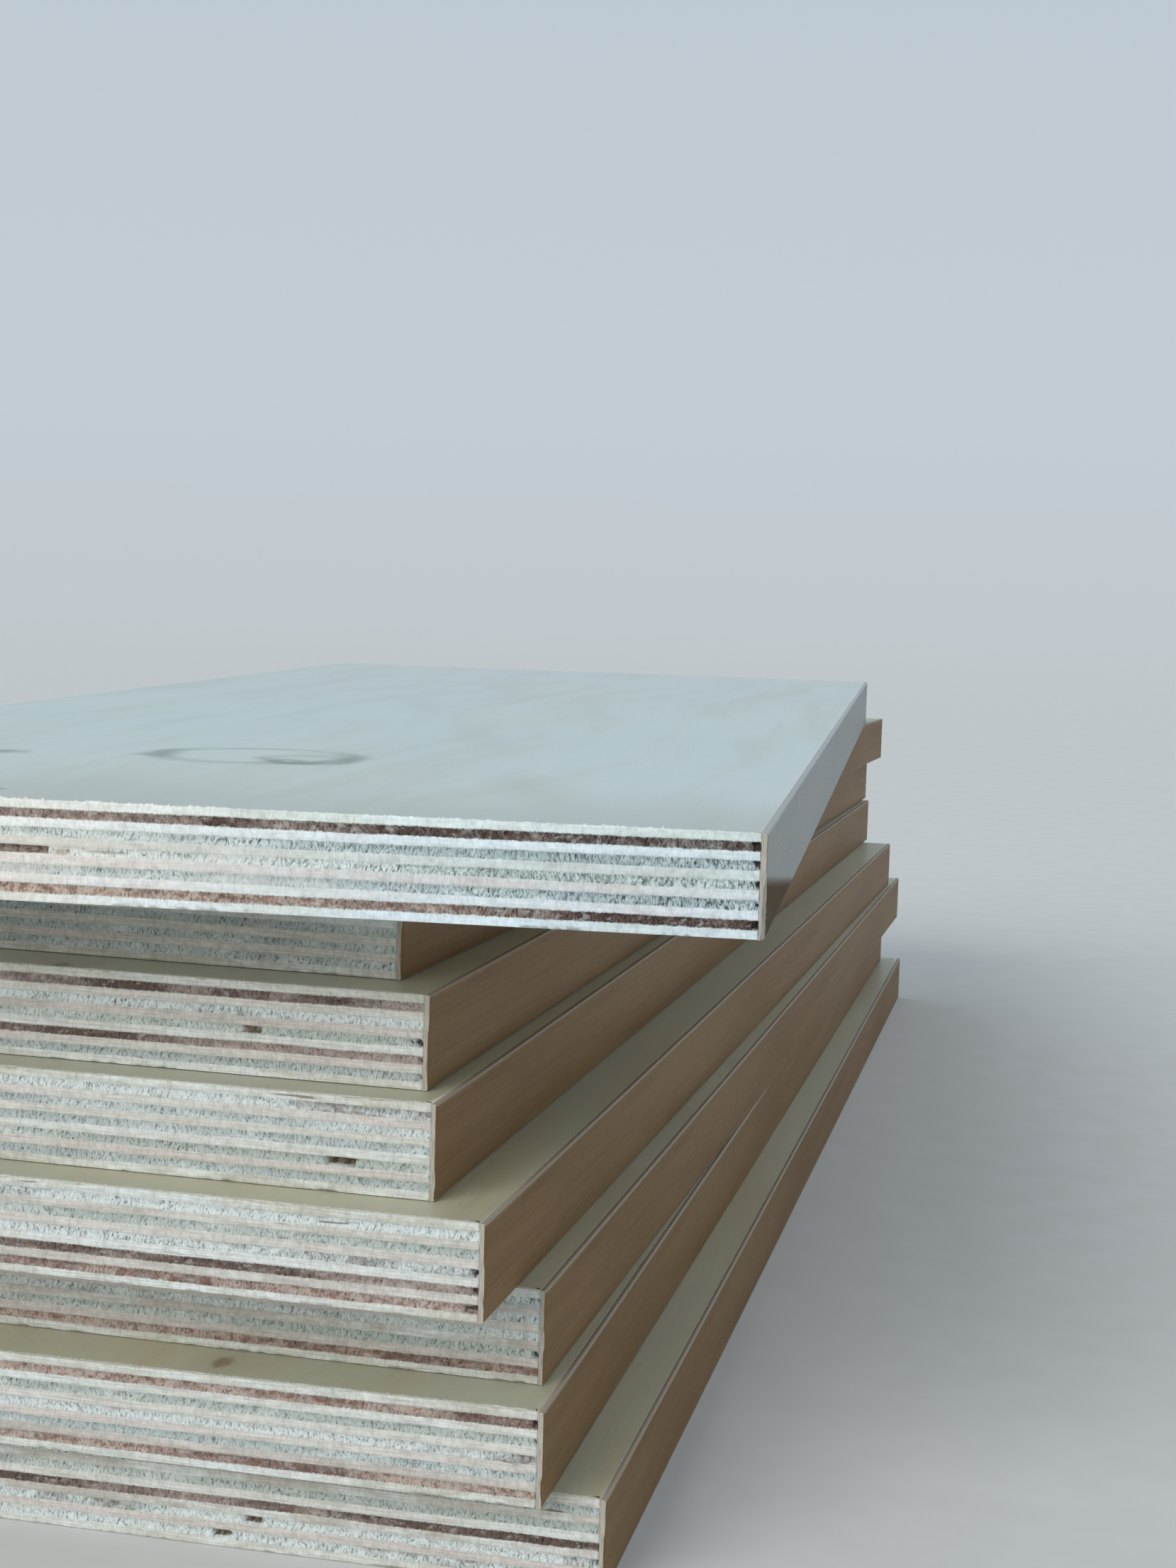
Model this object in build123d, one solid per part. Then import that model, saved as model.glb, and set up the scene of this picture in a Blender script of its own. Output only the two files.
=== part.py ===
from build123d import *
import math
import os

os.makedirs("parts", exist_ok=True)

# Stack of plywood panels lying flat on each other, in millimetres.
# X is across the panels, Y along them, Z up. The banded long edges face +X,
# and the bare ply ends nearest the viewer face -Y.

PANEL_WIDTH = 240.0      # across, with its edge band
PANEL_LENGTH = 640.0     # along
PANEL_THICKNESS = 18.0   # eleven plies
BAND_THICKNESS = 1.1     # glued strip on one long edge
BAND_ARRIS = 0.3         # bevel on the strip's two outer long edges

# How each panel lies, from the lowest to the top one: the place of its near
# right corner, X then Y, measured from the near right corner of the second
# panel from the top, and how far it is turned, in degrees anticlockwise.
PANELS = [
    ("sheet_1", "edge_band_1", 47.0, -14.0, 2.9),
    ("sheet_2", "edge_band_2", 37.0, -22.0, 2.7),
    ("sheet_3", "edge_band_3", 33.0, -9.0, 1.9),
    ("sheet_4", "edge_band_4", 28.0, -31.0, 1.6),
    ("sheet_5", "edge_band_5", 15.0, -21.0, 1.5),
    ("sheet_6", "edge_band_6", 10.0, -12.0, 1.3),
    ("sheet_7", "edge_band_7", 0.0, 0.0, 0.0),
    ("sheet_8", "edge_band_8", 76.0, -34.0, 7.0),
]


def corners(x, y, turn):
    """The four corners of a panel in plan."""
    a = math.radians(turn)
    out = []
    for u, v in ((0, 0), (-PANEL_WIDTH, 0), (-PANEL_WIDTH, PANEL_LENGTH), (0, PANEL_LENGTH)):
        out.append((x + u * math.cos(a) - v * math.sin(a), y + u * math.sin(a) + v * math.cos(a)))
    return out


# The origin is under the middle of the whole stack's outline.
plan = [c for _, _, x, y, turn in PANELS for c in corners(x, y, turn)]
mid_x = (min(c[0] for c in plan) + max(c[0] for c in plan)) / 2
mid_y = (min(c[1] for c in plan) + max(c[1] for c in plan)) / 2


def panel(x, y, turn, level):
    """One panel and its edge band, as two solids in their place in the stack."""
    core_width = PANEL_WIDTH - BAND_THICKNESS
    core = Pos(-BAND_THICKNESS - core_width / 2, PANEL_LENGTH / 2, PANEL_THICKNESS / 2) * Box(
        core_width, PANEL_LENGTH, PANEL_THICKNESS
    )
    band = Pos(-BAND_THICKNESS / 2, PANEL_LENGTH / 2, PANEL_THICKNESS / 2) * Box(
        BAND_THICKNESS, PANEL_LENGTH, PANEL_THICKNESS
    )
    outer = [e for e in band.edges().filter_by(Axis.Y) if e.center().X > -BAND_THICKNESS / 2]
    band = chamfer(outer, BAND_ARRIS)
    place = Pos(x - mid_x, y - mid_y, level) * Rot(0, 0, turn)
    return place * core, place * band


low = [1e9, 1e9, 1e9]
high = [-1e9, -1e9, -1e9]
for n, (core_name, band_name, x, y, turn) in enumerate(PANELS):
    core, band = panel(x, y, turn, n * PANEL_THICKNESS)
    export_step(core, f"parts/{core_name}.step")
    export_step(band, f"parts/{band_name}.step")
    for solid in (core, band):
        box = solid.bounding_box()
        for i in range(3):
            low[i] = min(low[i], tuple(box.min)[i])
            high[i] = max(high[i], tuple(box.max)[i])
print("stack from", [round(v, 3) for v in low], "to", [round(v, 3) for v in high])
print("moved by", round(-mid_x, 3), round(-mid_y, 3))
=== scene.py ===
import math

import bpy
import numpy as np
from mathutils import Matrix


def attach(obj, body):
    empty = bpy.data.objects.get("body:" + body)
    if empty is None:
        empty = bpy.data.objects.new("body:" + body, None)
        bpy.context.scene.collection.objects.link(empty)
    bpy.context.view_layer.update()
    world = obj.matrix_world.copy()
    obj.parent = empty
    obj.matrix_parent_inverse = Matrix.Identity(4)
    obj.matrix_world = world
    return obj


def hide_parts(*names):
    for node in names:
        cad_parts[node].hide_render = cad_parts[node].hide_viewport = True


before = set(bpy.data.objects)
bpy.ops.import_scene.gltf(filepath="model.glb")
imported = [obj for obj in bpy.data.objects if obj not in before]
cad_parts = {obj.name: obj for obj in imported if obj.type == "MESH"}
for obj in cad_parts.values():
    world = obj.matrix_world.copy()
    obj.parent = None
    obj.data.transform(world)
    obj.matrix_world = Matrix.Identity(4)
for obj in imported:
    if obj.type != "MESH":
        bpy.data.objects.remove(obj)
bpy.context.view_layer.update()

# ---------------------------------------------------------------- dimensions
# Millimetres in this part of the script. Each panel is made in its own frame:
# X 0 at the outer face of its edge band and negative across the panel,
# Y 0 at the near ply end, Z 0 at its underside.
WIDTH, LENGTH, THICK = 240.0, 640.0, 18.0
BAND = 1.1
SKIN = 0.05            # hairline between panels
PLIES = 11
MID_X, MID_Y = -84.229, 288.376
PANELS = [             # near right corner X, Y and turn in degrees, lowest first
    (47.0, -14.0, 2.9),
    (37.0, -22.0, 2.7),
    (33.0, -9.0, 1.9),
    (28.0, -31.0, 1.6),
    (15.0, -21.0, 1.5),
    (10.0, -12.0, 1.3),
    (0.0, 0.0, 0.0),
    (76.0, -34.0, 7.0),
]


# ---------------------------------------------------------------- seeded noise
def lattice(ix, iy, seed):
    h = (ix.astype(np.int64) * 374761393 + iy.astype(np.int64) * 668265263 + seed * 362437) & 0xFFFFFFFF
    h = ((h ^ (h >> 13)) * 1274126177) & 0xFFFFFFFF
    h = h ^ (h >> 16)
    return (h & 0xFFFFFF) / float(0x1000000)


def noise2(x, y, seed):
    x, y = np.broadcast_arrays(np.asarray(x, float), np.asarray(y, float))
    x0, y0 = np.floor(x), np.floor(y)
    fx, fy = x - x0, y - y0
    fx, fy = fx * fx * (3 - 2 * fx), fy * fy * (3 - 2 * fy)
    a, b = lattice(x0, y0, seed), lattice(x0 + 1, y0, seed)
    c, d = lattice(x0, y0 + 1, seed), lattice(x0 + 1, y0 + 1, seed)
    return (a * (1 - fx) + b * fx) * (1 - fy) + (c * (1 - fx) + d * fx) * fy


def fbm(x, y, seed, octaves=3):
    total, gain, norm = 0, 1.0, 0.0
    for k in range(octaves):
        total = total + gain * noise2(x * 2**k + 19.7 * k, y * 2**k + 7.3 * k, seed + 101 * k)
        norm += gain
        gain *= 0.5
    return total / norm


def smooth(a, b, x):
    t = np.clip((np.asarray(x, float) - a) / (b - a), 0, 1)
    return t * t * (3 - 2 * t)


# ---------------------------------------------------------------- node helpers
class Tree:
    """Short calls for making shader nodes."""

    def __init__(self, material):
        material.use_nodes = True
        self.t = material.node_tree
        self.t.nodes.clear()

    def new(self, kind, **props):
        n = self.t.nodes.new(kind)
        for k, v in props.items():
            setattr(n, k, v)
        return n

    def link(self, a, b):
        self.t.links.new(a, b)

    def put(self, value, socket):
        if hasattr(value, "links"):
            self.link(value, socket)
        else:
            socket.default_value = value

    def attr(self, name):
        return self.new("ShaderNodeAttribute", attribute_name=name).outputs["Fac"]

    def math(self, op, a, b=0.0, c=0.0, clamp=False):
        n = self.new("ShaderNodeMath", operation=op, use_clamp=clamp)
        for v, s in zip((a, b, c), n.inputs):
            self.put(v, s)
        return n.outputs[0]

    def xyz(self, x, y=0.0, z=0.0):
        n = self.new("ShaderNodeCombineXYZ")
        for v, s in zip((x, y, z), n.inputs):
            self.put(v, s)
        return n.outputs[0]

    def noise(self, vector, scale=1.0, detail=2.0, rough=0.5, distortion=0.0, dims="3D"):
        n = self.new("ShaderNodeTexNoise", noise_dimensions=dims)
        self.put(vector, n.inputs["Vector"])
        n.inputs["Scale"].default_value = scale
        n.inputs["Detail"].default_value = detail
        n.inputs["Roughness"].default_value = rough
        n.inputs["Distortion"].default_value = distortion
        return n.outputs[0]

    def span(self, x, a, b, lo=0.0, hi=1.0, soft=True):
        n = self.new("ShaderNodeMapRange", interpolation_type="SMOOTHSTEP" if soft else "LINEAR")
        self.put(x, n.inputs["Value"])
        for k, v in (("From Min", a), ("From Max", b), ("To Min", lo), ("To Max", hi)):
            n.inputs[k].default_value = v
        return n.outputs[0]

    def ramp(self, x, stops, kind="CONSTANT"):
        n = self.new("ShaderNodeValToRGB")
        n.color_ramp.interpolation = kind
        e = n.color_ramp.elements
        while len(e) > 1:
            e.remove(e[-1])
        e[0].position, e[0].color = stops[0][0], (*stops[0][1], 1)
        for p, c in stops[1:]:
            s = e.new(p)
            s.color = (*c, 1)
        self.put(x, n.inputs["Fac"])
        return n.outputs["Color"]

    def mix(self, fac, a, b, how="MIX"):
        n = self.new("ShaderNodeMix", data_type="RGBA", blend_type=how)
        self.put(fac, n.inputs[0])
        for v, s in ((a, n.inputs[6]), (b, n.inputs[7])):
            self.put((*v, 1) if isinstance(v, tuple) and len(v) == 3 else v, s)
        return n.outputs[2]

    def scale_color(self, color, value):
        """color times a grey value."""
        n = self.new("ShaderNodeVectorMath", operation="SCALE")
        self.put(color, n.inputs[0])
        self.put(value, n.inputs["Scale"])
        return n.outputs[0]

    def bump(self, height, distance, strength=1.0, normal=None):
        n = self.new("ShaderNodeBump")
        n.inputs["Strength"].default_value = strength
        n.inputs["Distance"].default_value = distance
        self.put(height, n.inputs["Height"])
        if normal is not None:
            self.link(normal, n.inputs["Normal"])
        return n.outputs[0]

    def shader(self, color, roughness, normal=None, **fixed):
        p = self.new("ShaderNodeBsdfPrincipled")
        self.put((*color, 1) if isinstance(color, tuple) and len(color) == 3 else color, p.inputs["Base Color"])
        self.put(roughness, p.inputs["Roughness"])
        if normal is not None:
            self.link(normal, p.inputs["Normal"])
        for k, v in fixed.items():
            p.inputs[k.replace("_", " ")].default_value = v
        out = self.new("ShaderNodeOutputMaterial")
        self.link(p.outputs[0], out.inputs[0])
        return p


def srgb(r, g, b):
    """A colour given as screen values, 0 to 255, in linear light."""
    out = []
    for v in (r, g, b):
        v /= 255.0
        out.append(v / 12.92 if v <= 0.04045 else ((v + 0.055) / 1.055) ** 2.4)
    return tuple(out)


# ---------------------------------------------------------------- ply colours
# Each panel's plies from its upper face down: a light tone, a dark tone and
# how far the ply leans from the light one to the dark one.
WHITE, CREAM, PINK = srgb(236, 237, 231), srgb(227, 222, 211), srgb(224, 214, 206)
GREY, GREY_D = srgb(222, 226, 221), srgb(188, 194, 190)
GREEN, GREEN_D = srgb(223, 226, 218), srgb(188, 193, 184)
TAUPE, TAUPE_D = srgb(180, 164, 154), srgb(86, 68, 62)
ROSE, ROSE_D = srgb(192, 171, 157), srgb(92, 70, 64)


def ply_table(n):
    if n == 8:
        return [
            (WHITE, srgb(226, 225, 213), 0.0), (TAUPE, TAUPE_D, 0.15), (srgb(238, 240, 238), srgb(232, 232, 228), 0.0),
            (GREY, GREY_D, 0.15), (srgb(226, 226, 219), srgb(214, 209, 198), -0.1), (GREEN, GREEN_D, 0.0),
            (srgb(224, 212, 204), srgb(230, 228, 224), -0.1), (GREY, GREY_D, 0.2), (srgb(235, 235, 232), srgb(226, 215, 209), -0.1),
            (ROSE, ROSE_D, -0.05), (srgb(234, 237, 236), srgb(222, 222, 214), 0.0),
        ]
    rng = np.random.default_rng(700 + n)
    rows = []
    for k in range(PLIES):
        if k in (0, 10):
            rows.append((WHITE, srgb(216, 212, 196), 0.0))
        elif k % 2:
            kind = rng.random()
            if n == 7:
                rows.append((GREY, TAUPE_D if k in (1, 3) else GREY_D, -0.35 if k in (1, 3) else 0.1))
            elif kind < 0.12:
                rows.append((TAUPE, srgb(104, 88, 80), 0.1 * rng.random()))
            elif kind < 0.24:
                rows.append((ROSE, srgb(120, 98, 90), -0.15 - 0.1 * rng.random()))
            elif kind < 0.60:
                rows.append((GREY, srgb(130, 116, 106), -0.30))
            else:
                rows.append((GREY, GREY_D, 0.2) if rng.random() < 0.5 else (GREEN, GREEN_D, 0.2))
        else:
            a = [WHITE, CREAM, PINK][rng.integers(3)]
            b = [srgb(230, 226, 217), CREAM, srgb(204, 196, 184)][rng.integers(3)]
            rows.append((a, b, 0.0))
    return rows


def mark(t, base, vector, x, y, half_x, half_y, turn, color, strength, inner=0.35):
    """A soft oval mark at x, y in millimetres on a veneer face."""
    n = t.new("ShaderNodeMapping", vector_type="TEXTURE")
    t.put(vector, n.inputs["Vector"])
    n.inputs["Location"].default_value = (x, y, 0)
    n.inputs["Rotation"].default_value = (0, 0, math.radians(turn))
    n.inputs["Scale"].default_value = (half_x, half_y, 1)
    d = t.new("ShaderNodeVectorMath", operation="LENGTH")
    t.link(n.outputs[0], d.inputs[0])
    f = t.span(d.outputs["Value"], inner, 1.0, strength, 0.0)
    return t.mix(f, base, color), n.outputs[0], d.outputs["Value"]


def ply_material(n):
    """The sawn edges of panel n: eleven plies, rough where they show end grain."""
    m = bpy.data.materials.new(f"ply_edge_{n}")
    t = Tree(m)
    rows = ply_table(n)
    seed = 13.7 * n
    s, z = t.attr("run"), t.attr("height")          # millimetres along the edge and up
    side, ply = t.attr("side"), t.attr("ply")
    scaled = lambda v, k: t.math("MULTIPLY", v, k)
    fuzz = t.noise(t.xyz(scaled(s, 2.0), scaled(z, 1.4), seed), 1.0, 4.0, 0.68)
    wander = t.noise(t.xyz(scaled(s, 0.11), z, seed + 5), 1.0, 2.0, 0.5)
    p = t.math("ADD", ply, t.math("MULTIPLY_ADD", fuzz, 0.40, -0.20))
    p = t.math("ADD", p, t.math("MULTIPLY_ADD", wander, 0.16, -0.08))
    p = t.math("MINIMUM", t.math("MAXIMUM", p, 0.0), 10.99)
    share = t.math("DIVIDE", p, 11.0)

    def by_ply(values, blend=0.07):
        """One value or colour per ply, blended a little where two plies meet."""
        stops = [(0.0, values[0])]
        for k in range(1, PLIES):
            stops += [((k - blend) / PLIES, values[k - 1]), ((k + blend) / PLIES, values[k])]
        return t.ramp(share, stops, "LINEAR")

    light, dark = by_ply([r[0] for r in rows]), by_ply([r[1] for r in rows])
    lean = by_ply([(0.5 + r[2],) * 3 for r in rows])
    odd = by_ply([(float(k % 2),) * 3 for k in range(PLIES)])
    dull = by_ply([(1.0 if k % 2 and max(r[1]) < 0.2 else 0.0,) * 3 for k, r in enumerate(rows)])
    lane = t.math("MULTIPLY_ADD", t.math("FLOOR", p), 9.73, seed)
    rough = t.math("ABSOLUTE", t.math("SUBTRACT", odd, side))
    # how far each spot goes from the light tone to the dark one
    broad = t.noise(t.xyz(scaled(s, 0.022), lane, 0.0), 1.0, 2.0, 0.5)
    middle = t.noise(t.xyz(scaled(s, 0.13), scaled(z, 0.35), lane), 1.0, 3.0, 0.6)
    small = t.noise(t.xyz(scaled(s, 0.75), scaled(z, 0.9), lane), 1.0, 3.0, 0.6)
    amount = t.math("ADD", t.span(broad, 0.34, 0.66, -0.55, 0.55, soft=False), t.span(middle, 0.3, 0.7, -0.45, 0.45, soft=False))
    amount = t.math("ADD", amount, t.span(small, 0.3, 0.7, -0.22, 0.22, soft=False))
    amount = t.math("ADD", amount, t.math("MULTIPLY_ADD", lean, 2.0, -0.5))
    if n == 8:
        across = t.attr("across")

        def along(stops):
            """A value along the near end, from stops of (mm, value)."""
            r = t.ramp(t.span(across, -134.0, 0.0, soft=False), [((u + 134.0) / 134.0, (v,) * 3) for u, v in stops], "LINEAR")
            return t.math("ADD", r, 0.0)

        second = along([
            (-134, .70), (-130, .35), (-98, .45), (-96, .92), (-88, .85), (-85, .52), (-71, .60), (-67, .96), (-41, .96),
            (-39.4, .25), (-37.8, .92), (-29, .95), (-28.3, .20), (-27.6, .90), (-19, .85), (-16, .45), (-10, .55), (-8, .8),
        ])
        tenth = along([(-134, .12), (-90, .18), (-66, .30), (-50, .42), (-37, .58), (-33, 1.05), (-20, 1.05), (-10, .92), (-2, .92)])
        is_second, is_tenth = (by_ply([(1.0 if k == j else 0.0,) * 3 for k in range(PLIES)]) for j in (1, 9))
        fresh = t.math("SUBTRACT", 1.0, dull)
        amount = t.math("ADD", amount, t.math("MULTIPLY", t.math("MULTIPLY", fresh, odd), t.span(across, -120.0, -30.0, -0.45, 0.15, soft=False)))
        patch = t.noise(t.xyz(scaled(t.math("ADD", s, scaled(z, 0.5)), 0.62), scaled(z, 0.55), lane), 1.0, 4.0, 0.68)
        spread = t.span(patch, 0.32, 0.68, -0.46, 0.38, soft=False)
        amount = t.mix(is_second, amount, t.math("ADD", second, spread))
        amount = t.mix(is_tenth, amount, t.math("ADD", tenth, spread))
    amount = t.math("MINIMUM", t.math("MAXIMUM", amount, 0.0), 1.0)
    color = t.mix(amount, light, dark)
    # long grain: thin streaks along the edge, and faint upright saw ticks
    streak = t.noise(t.xyz(scaled(s, 0.10), scaled(z, 4.2), lane), 1.0, 4.0, 0.6)
    tick = t.noise(t.xyz(scaled(s, 1.3), scaled(z, 0.45), t.math("ADD", lane, 2.0)), 1.0, 5.0, 0.75, 0.8)
    blotch = t.noise(t.xyz(scaled(s, 0.34), scaled(z, 0.8), t.math("ADD", lane, 6.0)), 1.0, 4.0, 0.65)
    smooth_tone = t.math("MULTIPLY", t.span(streak, 0.30, 0.68, 0.95 if n == 8 else 0.88, 1.02), t.span(tick, 0.36, 0.56, 0.84, 1.02))
    smooth_tone = t.math("MULTIPLY", smooth_tone, t.span(blotch, 0.30, 0.60, 0.90, 1.02))
    warm_streak = t.span(streak, 0.34, 0.52, 0.16 if n == 8 else 0.34, 0.0)
    # end grain: short slanting dark strokes that cross, between pale fibres
    tilt = t.noise(t.xyz(scaled(s, 0.30), 2.0, seed), 1.0, 1.0, 0.5)
    inner_z = scaled(t.math("FRACT", p), 1.64)
    slope = t.math("ADD", s, t.math("MULTIPLY", inner_z, t.math("MULTIPLY_ADD", tilt, 1.2, -0.35)))
    slope_b = t.math("SUBTRACT", s, t.math("MULTIPLY", inner_z, t.math("MULTIPLY_ADD", tilt, 0.7, -0.05)))
    cell = t.noise(t.xyz(scaled(slope, 2.6), scaled(inner_z, 0.85), lane), 1.0, 4.0, 0.66)
    cell_b = t.noise(t.xyz(scaled(slope_b, 3.2), scaled(inner_z, 0.95), t.math("ADD", lane, 4.4)), 1.0, 4.0, 0.66)
    crowd = t.noise(t.xyz(scaled(s, 0.10), lane, 3.0), 1.0, 3.0, 0.55)
    if n == 8:
        more = t.span(t.attr("across"), -110.0, -4.0, 0.0, 0.045, soft=False)
        cell, cell_b = t.math("SUBTRACT", cell, more), t.math("SUBTRACT", cell_b, more)
    hole = t.math("MAXIMUM", t.span(cell, 0.50, 0.30, 0.0, 1.0), t.span(cell_b, 0.48, 0.30, 0.0, 0.9))
    fibre = t.span(cell, 0.52, 0.68, 0.0, 0.08)
    depth_of = t.span(crowd, 0.30, 0.70, 0.55, 0.96, soft=False)
    if n == 8:
        depth_of = t.math("MULTIPLY", depth_of, t.span(t.attr("across"), -190.0, -10.0, 0.90, 1.12, soft=False))
    rough_tone = t.math("ADD", t.math("SUBTRACT", 1.0, t.math("MULTIPLY", hole, depth_of)), fibre)
    tone = t.math("ADD", t.math("MULTIPLY", rough, rough_tone), t.math("MULTIPLY", t.math("SUBTRACT", 1.0, rough), smooth_tone))
    color = t.scale_color(color, tone)
    color = t.mix(t.math("MULTIPLY", t.math("SUBTRACT", 1.0, rough), warm_streak), color, srgb(206, 194, 180) if n == 8 else srgb(178, 168, 154))
    # brown plies: reddish and grey flecks among the dark
    fleck = t.noise(t.xyz(scaled(slope, 0.55), scaled(inner_z, 0.7), t.math("ADD", lane, 40.0)), 1.0, 4.0, 0.68)
    rosy = by_ply([(0.65 if r[0] == ROSE else 0.22,) * 3 for r in rows])
    if n == 8:
        rosy = t.math("MULTIPLY", rosy, t.span(t.attr("across"), -30.0, -44.0, 0.25, 1.0))
    color = t.mix(t.math("MULTIPLY", t.math("MULTIPLY", dull, rosy), t.span(fleck, 0.50, 0.62)), color, srgb(122, 82, 66))
    color = t.mix(t.math("MULTIPLY", dull, t.span(fleck, 0.46, 0.34, 0.0, 0.55)), color, srgb(186, 178, 170))
    if n == 8:
        haze = t.noise(t.xyz(scaled(s, 0.06), scaled(z, 0.42), seed + 33), 1.0, 3.0, 0.55)
        centre = by_ply([(1.0 if 4 <= k <= 8 else 0.0,) * 3 for k in range(PLIES)])
        haze = t.math("MULTIPLY", t.span(haze, 0.42, 0.62, 0.0, 0.55), t.math("MULTIPLY", centre, t.span(t.attr("across"), -50.0, -105.0)))
        color = t.mix(haze, color, srgb(216, 210, 202))
        # painted light on panel 8's near end: warm and bright at the left, cooler and darker toward the band, then
        # brightened as a whole
        painted_cool_light = t.ramp(
            t.span(t.attr("across"), -130.0, 0.0, soft=False),
            [(0.0, (0.98, 0.97, 0.945)), (0.5, (0.85, 0.925, 0.965)), (1.0, (0.79, 0.89, 0.95))], "LINEAR",
        )
        color = t.scale_color(t.mix(1.0, color, painted_cool_light, "MULTIPLY"), 1.12)
        flat = t.xyz(t.attr("across"), z, 0.0)
        for cx, cz, hx, hz, ink, k in (
            (-114.5, 9.35, 5.0, 0.40, srgb(150, 138, 124), 0.55), (-122.4, 9.0, 2.0, 0.75, srgb(184, 164, 146), 0.75),
            (-121.3, 9.3, 0.5, 0.5, srgb(96, 84, 72), 0.6), (-107.6, 9.2, 0.5, 0.30, srgb(92, 84, 76), 0.7),
        ):
            color, _, _ = mark(t, color, flat, cx, cz, hx, hz, 0.0, ink, k)
    else:
        # painted shade: the lower panels' ply ends are darker and cooler
        color = t.mix(1.0, color, (0.92, 0.94, 0.955), "MULTIPLY")
    # dark streaks where a veneer holds a knot or bark
    knot = t.noise(t.xyz(scaled(s, 0.05), scaled(z, 0.8), seed + 77), 1.0, 3.0, 0.55)
    limit = 0.76 if n == 8 else 0.70
    color = t.mix(t.span(knot, limit, limit + 0.05, 0.0, 0.7), color, srgb(96, 76, 66))
    mottle = t.noise(t.xyz(scaled(s, 0.9), scaled(z, 0.9), seed + 60), 1.0, 3.0, 0.6)
    color = t.scale_color(color, t.span(mottle, 0.3, 0.7, 0.92, 1.04, soft=False))
    # pits and gaps cut in the mesh; the pits are also filled with painted shade, near black
    pit = t.attr("pit")
    ragged = t.noise(t.xyz(scaled(slope, 2.8), scaled(z, 2.0), seed + 90), 1.0, 3.0, 0.7)
    torn = t.span(t.math("ADD", pit, t.math("MULTIPLY_ADD", ragged, 0.9, -0.45)), 0.30, 0.70)
    color = t.mix(t.math("MULTIPLY", torn, 0.88), color, t.mix(t.span(mottle, 0.40, 0.62), srgb(48, 41, 37), srgb(92, 82, 74)))
    hollow = t.span(t.math("ADD", t.attr("hollow"), t.math("MULTIPLY_ADD", ragged, 0.8, -0.4)), 0.36, 0.64)
    inner = t.mix(t.span(mottle, 0.42, 0.58), srgb(104, 92, 80), srgb(156, 142, 128))
    color = t.mix(hollow, color, inner)
    height = t.math("SUBTRACT", t.math("MULTIPLY", streak, 0.3), t.math("MULTIPLY", rough, hole))
    normal = t.bump(height, 0.00008, 0.5)
    t.shader(color, 0.80, normal, Specular_IOR_Level=0.25)
    return m


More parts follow.
